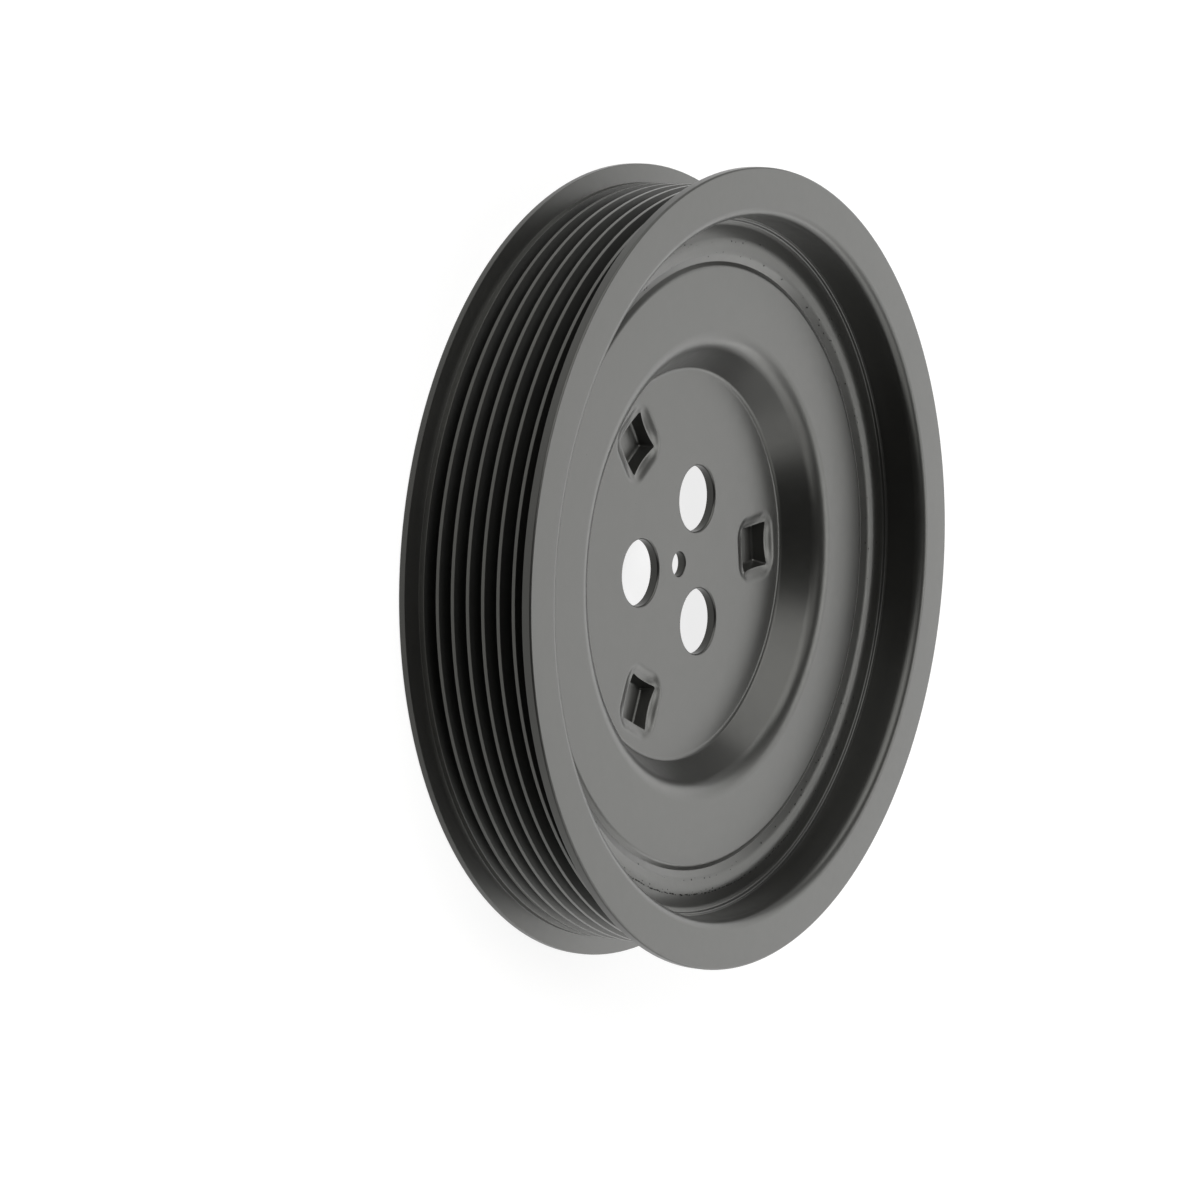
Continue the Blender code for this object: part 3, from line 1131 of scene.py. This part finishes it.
@dataclass
class Studio:
    """Floor, white surround, lamps and camera.

    The camera's numbers are those of the pinhole camera that was fitted to the photograph's
    circles: how far the pulley's axis is turned from the line of sight, its roll, and the
    front face's centre in camera space, in mm.
    """

    middle: Vector
    front_centre: Vector
    lamps: Sequence[Lamp]
    hole_turn: float = 22.8
    view_tilt: float = 57.673
    view_roll: float = 4.793
    view_offset: tuple[float, float, float] = (31.15, -6.17, 1049.9)
    lens: float = 153.35
    sensor: float = 36.0
    world_level: float = 0.05
    sweep_azimuth: float = 22.8
    sweep_edge: Pair = (0.1, 0.7)
    floor_size: float = 6.0
    floor_gap: float = 0.05
    floor_colour: str = "e6e6e4"
    shadow_colour: str = "8c8c8b"
    floor_lift: float = 0.82
    shadow_reach: float = 0.22

    def build(self) -> None:
        """Set up everything round the pulley."""
        bpy.context.scene.view_settings.view_transform = "Standard"
        self._floor()
        self._world()
        for lamp in self.lamps:
            lamp.build(self.middle)
        self._camera()

    def _camera(self) -> None:
        """Place the camera at the photograph's viewing angle."""
        tilt, roll = math.radians(self.view_tilt), math.radians(self.view_roll)
        lean = math.sin(tilt)
        axis = Vector((lean * math.cos(roll), lean * math.sin(roll), -math.cos(tilt)))
        image_up = Vector((0.0, -1.0, 0.0))
        up = (image_up - axis * image_up.dot(axis)).normalized()
        side = -axis.cross(up)
        turn = math.radians(self.hole_turn)
        up_here = Vector((-math.sin(turn), math.cos(turn), 0.0))
        side_here = Vector((math.cos(turn), math.sin(turn), 0.0))
        axis_here = Vector((0.0, 0.0, 1.0))
        right, down, forward = [
            axis[i] * axis_here + up[i] * up_here + side[i] * side_here for i in range(3)
        ]
        data = bpy.data.cameras.new("view")
        data.lens = self.lens
        data.sensor_width = self.sensor
        camera = new_object("view", data)
        across, below, ahead = [mm(length) for length in self.view_offset]
        place = self.front_centre - right * across - down * below - forward * ahead
        turned = Matrix((right, -down, -forward)).transposed()
        camera.matrix_world = Matrix.Translation(place) @ turned.to_4x4()
        bpy.context.scene.camera = camera

    def _seen(self, tree: Tree) -> Socket:
        """Return 1 for the rays that see the white, from the camera, a gloss or a glass, else 0."""
        path = add_node(tree, "ShaderNodeLightPath").outputs
        gloss = {0: path["Is Glossy Ray"], 1: path["Is Transmission Ray"]}
        bounced = add_node(tree, "ShaderNodeMath", gloss, operation="MAXIMUM").outputs[0]
        either = {0: path["Is Camera Ray"], 1: bounced}
        return add_node(tree, "ShaderNodeMath", either, operation="MAXIMUM").outputs[0]

    def _floor(self) -> None:
        """Lay a pale floor that is seen as white, apart from the pulley's soft shadow.

        Near the pulley what is seen is half matt, which takes the shadow, and half glow, so
        that the shadow is faint. Further out it is all glow, and the floor has no edge.
        """
        height = mm(-self.floor_gap)
        bpy.ops.mesh.primitive_plane_add(size=self.floor_size, location=(0.0, 0.0, height))
        floor = bpy.context.object
        floor.name = "floor"
        material = bpy.data.materials.new("pale_floor")
        material.use_nodes = True
        tree = material.node_tree
        tree.nodes.clear()
        place = add_node(tree, "ShaderNodeTexCoord").outputs["Object"]
        reach = add_node(tree, "ShaderNodeVectorMath", {0: place}, operation="LENGTH")
        start = self.shadow_reach
        rise = {"Value": reach.outputs["Value"], "From Min": start, "From Max": start * 2}
        far = add_node(tree, "ShaderNodeMapRange", rise, interpolation_type="SMOOTHSTEP")
        matt = add_node(tree, "ShaderNodeBsdfDiffuse", {"Color": linear(self.shadow_colour)})
        lift = add_node(tree, "ShaderNodeEmission", {"Strength": self.floor_lift})
        near = add_node(tree, "ShaderNodeAddShader", {0: matt.outputs[0], 1: lift.outputs[0]})
        white = add_node(tree, "ShaderNodeEmission", {"Strength": 1.0})
        sheet = {0: far.outputs[0], 1: near.outputs[0], 2: white.outputs[0]}
        seen = add_node(tree, "ShaderNodeMixShader", sheet)
        plain = add_node(tree, "ShaderNodeBsdfDiffuse", {"Color": linear(self.floor_colour)})
        choice = {0: self._seen(tree), 1: plain.outputs[0], 2: seen.outputs[0]}
        chosen = add_node(tree, "ShaderNodeMixShader", choice)
        add_node(tree, "ShaderNodeOutputMaterial", {"Surface": chosen.outputs[0]})
        floor.data.materials.append(material)
        floor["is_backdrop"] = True

    def _world(self) -> None:
        """Surround the scene with white for the camera, and with the white sweep for reflections.

        The sweep stands behind the pulley. The room on the camera's side of it is dark, and
        that is what the black coat mirrors wherever it faces the camera.
        """
        world = bpy.data.worlds.new("surround")
        bpy.context.scene.world = world
        world.use_nodes = True
        tree = world.node_tree
        tree.nodes.clear()
        turn = math.radians(self.sweep_azimuth)
        direction = add_node(tree, "ShaderNodeTexCoord").outputs["Generated"]
        sides = {0: direction, 1: (math.cos(turn), math.sin(turn), 0.0)}
        behind = add_node(tree, "ShaderNodeVectorMath", sides, operation="DOT_PRODUCT")
        start, end = self.sweep_edge
        rise = {"Value": behind.outputs["Value"], "From Min": start, "From Max": end}
        sweep = add_node(tree, "ShaderNodeMapRange", rise, interpolation_type="SMOOTHSTEP")
        camera_ray = add_node(tree, "ShaderNodeLightPath").outputs["Is Camera Ray"]
        either = {0: sweep.outputs[0], 1: camera_ray}
        white = add_node(tree, "ShaderNodeMath", either, operation="MAXIMUM")
        levels = {"Value": self._seen(tree), "To Min": self.world_level, "To Max": white.outputs[0]}
        level = add_node(tree, "ShaderNodeMapRange", levels)
        light = add_node(tree, "ShaderNodeBackground", {"Strength": level.outputs[0]})
        add_node(tree, "ShaderNodeOutputWorld", {"Surface": light.outputs[0]})


def dress(piece: Piece) -> None:
    """Tie a piece to the pulley's body, and report it."""
    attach(piece, BODY)
    log.info("%s: %d faces", piece.name, len(piece.data.polygons))


def coats() -> dict[Zone, Material]:
    """Make the coat of each zone; the pressed, turned and ridge coats differ in what lies under the film,
    the groove coat carries painted shade and the crest coat a painted highlight.

    Returns:
        A material for each zone.
    """
    finishes = {
        # Pressed sheet: dip coat on smooth cold formed steel. The sheen is even and broad.
        Zone.PRESSED: DipCoat("satin_black_dip_coat_pressed"),
        # Turned faces: dip coat over a lathe tool's marks, which give faint circles. Their real
        # pitch is near 0.1 mm, and they are drawn at 0.45 mm so that they show.
        Zone.TURNED: DipCoat(
            "satin_black_dip_coat_turned", roughness=0.33, ring_pitch_mm=0.45, ring_height_mm=0.0012
        ),
        # Forming lap: dip coat on squeezed, grainy steel, which breaks the sheen into specks.
        # The grain is near 0.15 mm, and it is drawn at 0.4 mm so that it shows.
        Zone.RIDGE: DipCoat(
            "satin_black_dip_coat_ridge", roughness=0.34, grain_size_mm=0.4, grain_height_mm=0.008
        ),
        # Groove flanks: painted shade, a darker colour where shade falls in the grooves, on a dull coat.
        Zone.GROOVE: DipCoat(
            "painted_shade_dip_coat_groove", colour="0b0b0b", faded_colour="131312", roughness=0.45
        ),
        # Groove crests: painted highlight, thin paler lines where the crests catch the light.
        Zone.CREST: DipCoat(
            "painted_highlight_dip_coat_crest", colour="2e2e2c", faded_colour="3c3c39", roughness=0.3
        ),
    }
    return {zone: finish.build() for zone, finish in finishes.items()}


def pit_shade_coat() -> Material:
    """Make the painted shade of the pinholes and of the dashes along the ridge's outer side.

    Returns:
        The material.
    """
    # Painted shade: a near black, dull colour that stands in for the shade inside the pinholes and in the
    # crevice under the seam's dashes; it hardly reflects. Its mottle is drawn as patches of 0.4 mm.
    return DipCoat(
        "painted_shade_pit_coat",
        colour="0d0d0c",
        faded_colour="1c1b19",
        roughness=0.75,
        ior=1.33,
        mottle_size_mm=0.4,
    ).build()


def main() -> None:
    """Build the pulley and its studio."""
    logging.basicConfig(level=logging.INFO, format="%(message)s")
    lowest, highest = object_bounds()
    top = highest.z
    rim = Rim(outer_radius=highest.x / mm(1.0), width=top / mm(1.0))
    ridge = Ridge(rim)
    web = Web(ridge)
    hub = Hub(web, top)
    body = PulleyBody(rim, ridge, web, hub).build(coats())
    dress(body)
    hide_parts(NODE)
    for piece in ridge.dress(pit_shade_coat(), top):
        dress(piece)
    middle = Vector((0.0, 0.0, top / 2))
    lamps = [
        Lamp("main_softbox", azimuth=22.8, elevation=32.0, width=1.3, radiance=1.5),
        Lamp("main_upper", azimuth=22.8, elevation=56.0, width=0.45, radiance=3.8),
        Lamp("main_lower", azimuth=22.8, elevation=13.0, width=1.3, radiance=1.4),
        Lamp("left_softbox", azimuth=132.8, elevation=32.0, width=1.9, radiance=2.8),
        Lamp("left_upper", azimuth=142.8, elevation=52.0, width=1.2, radiance=3.4),
        Lamp("left_lower", azimuth=132.8, elevation=13.0, width=1.9, radiance=0.95),
        Lamp("overhead", azimuth=150.0, elevation=72.0, width=0.6, radiance=1.4),
        Lamp("right_upper", azimuth=298.0, elevation=52.0, width=0.9, radiance=2.0),
        Lamp("right_softbox", azimuth=312.8, elevation=32.0, width=1.9, radiance=2.3),
        Lamp("right_lower", azimuth=322.8, elevation=13.0, width=1.3, radiance=0.7),
    ]
    Studio(middle, Vector((0.0, 0.0, top)), lamps).build()
    lowest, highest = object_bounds()


if __name__ == "__main__":
    main()
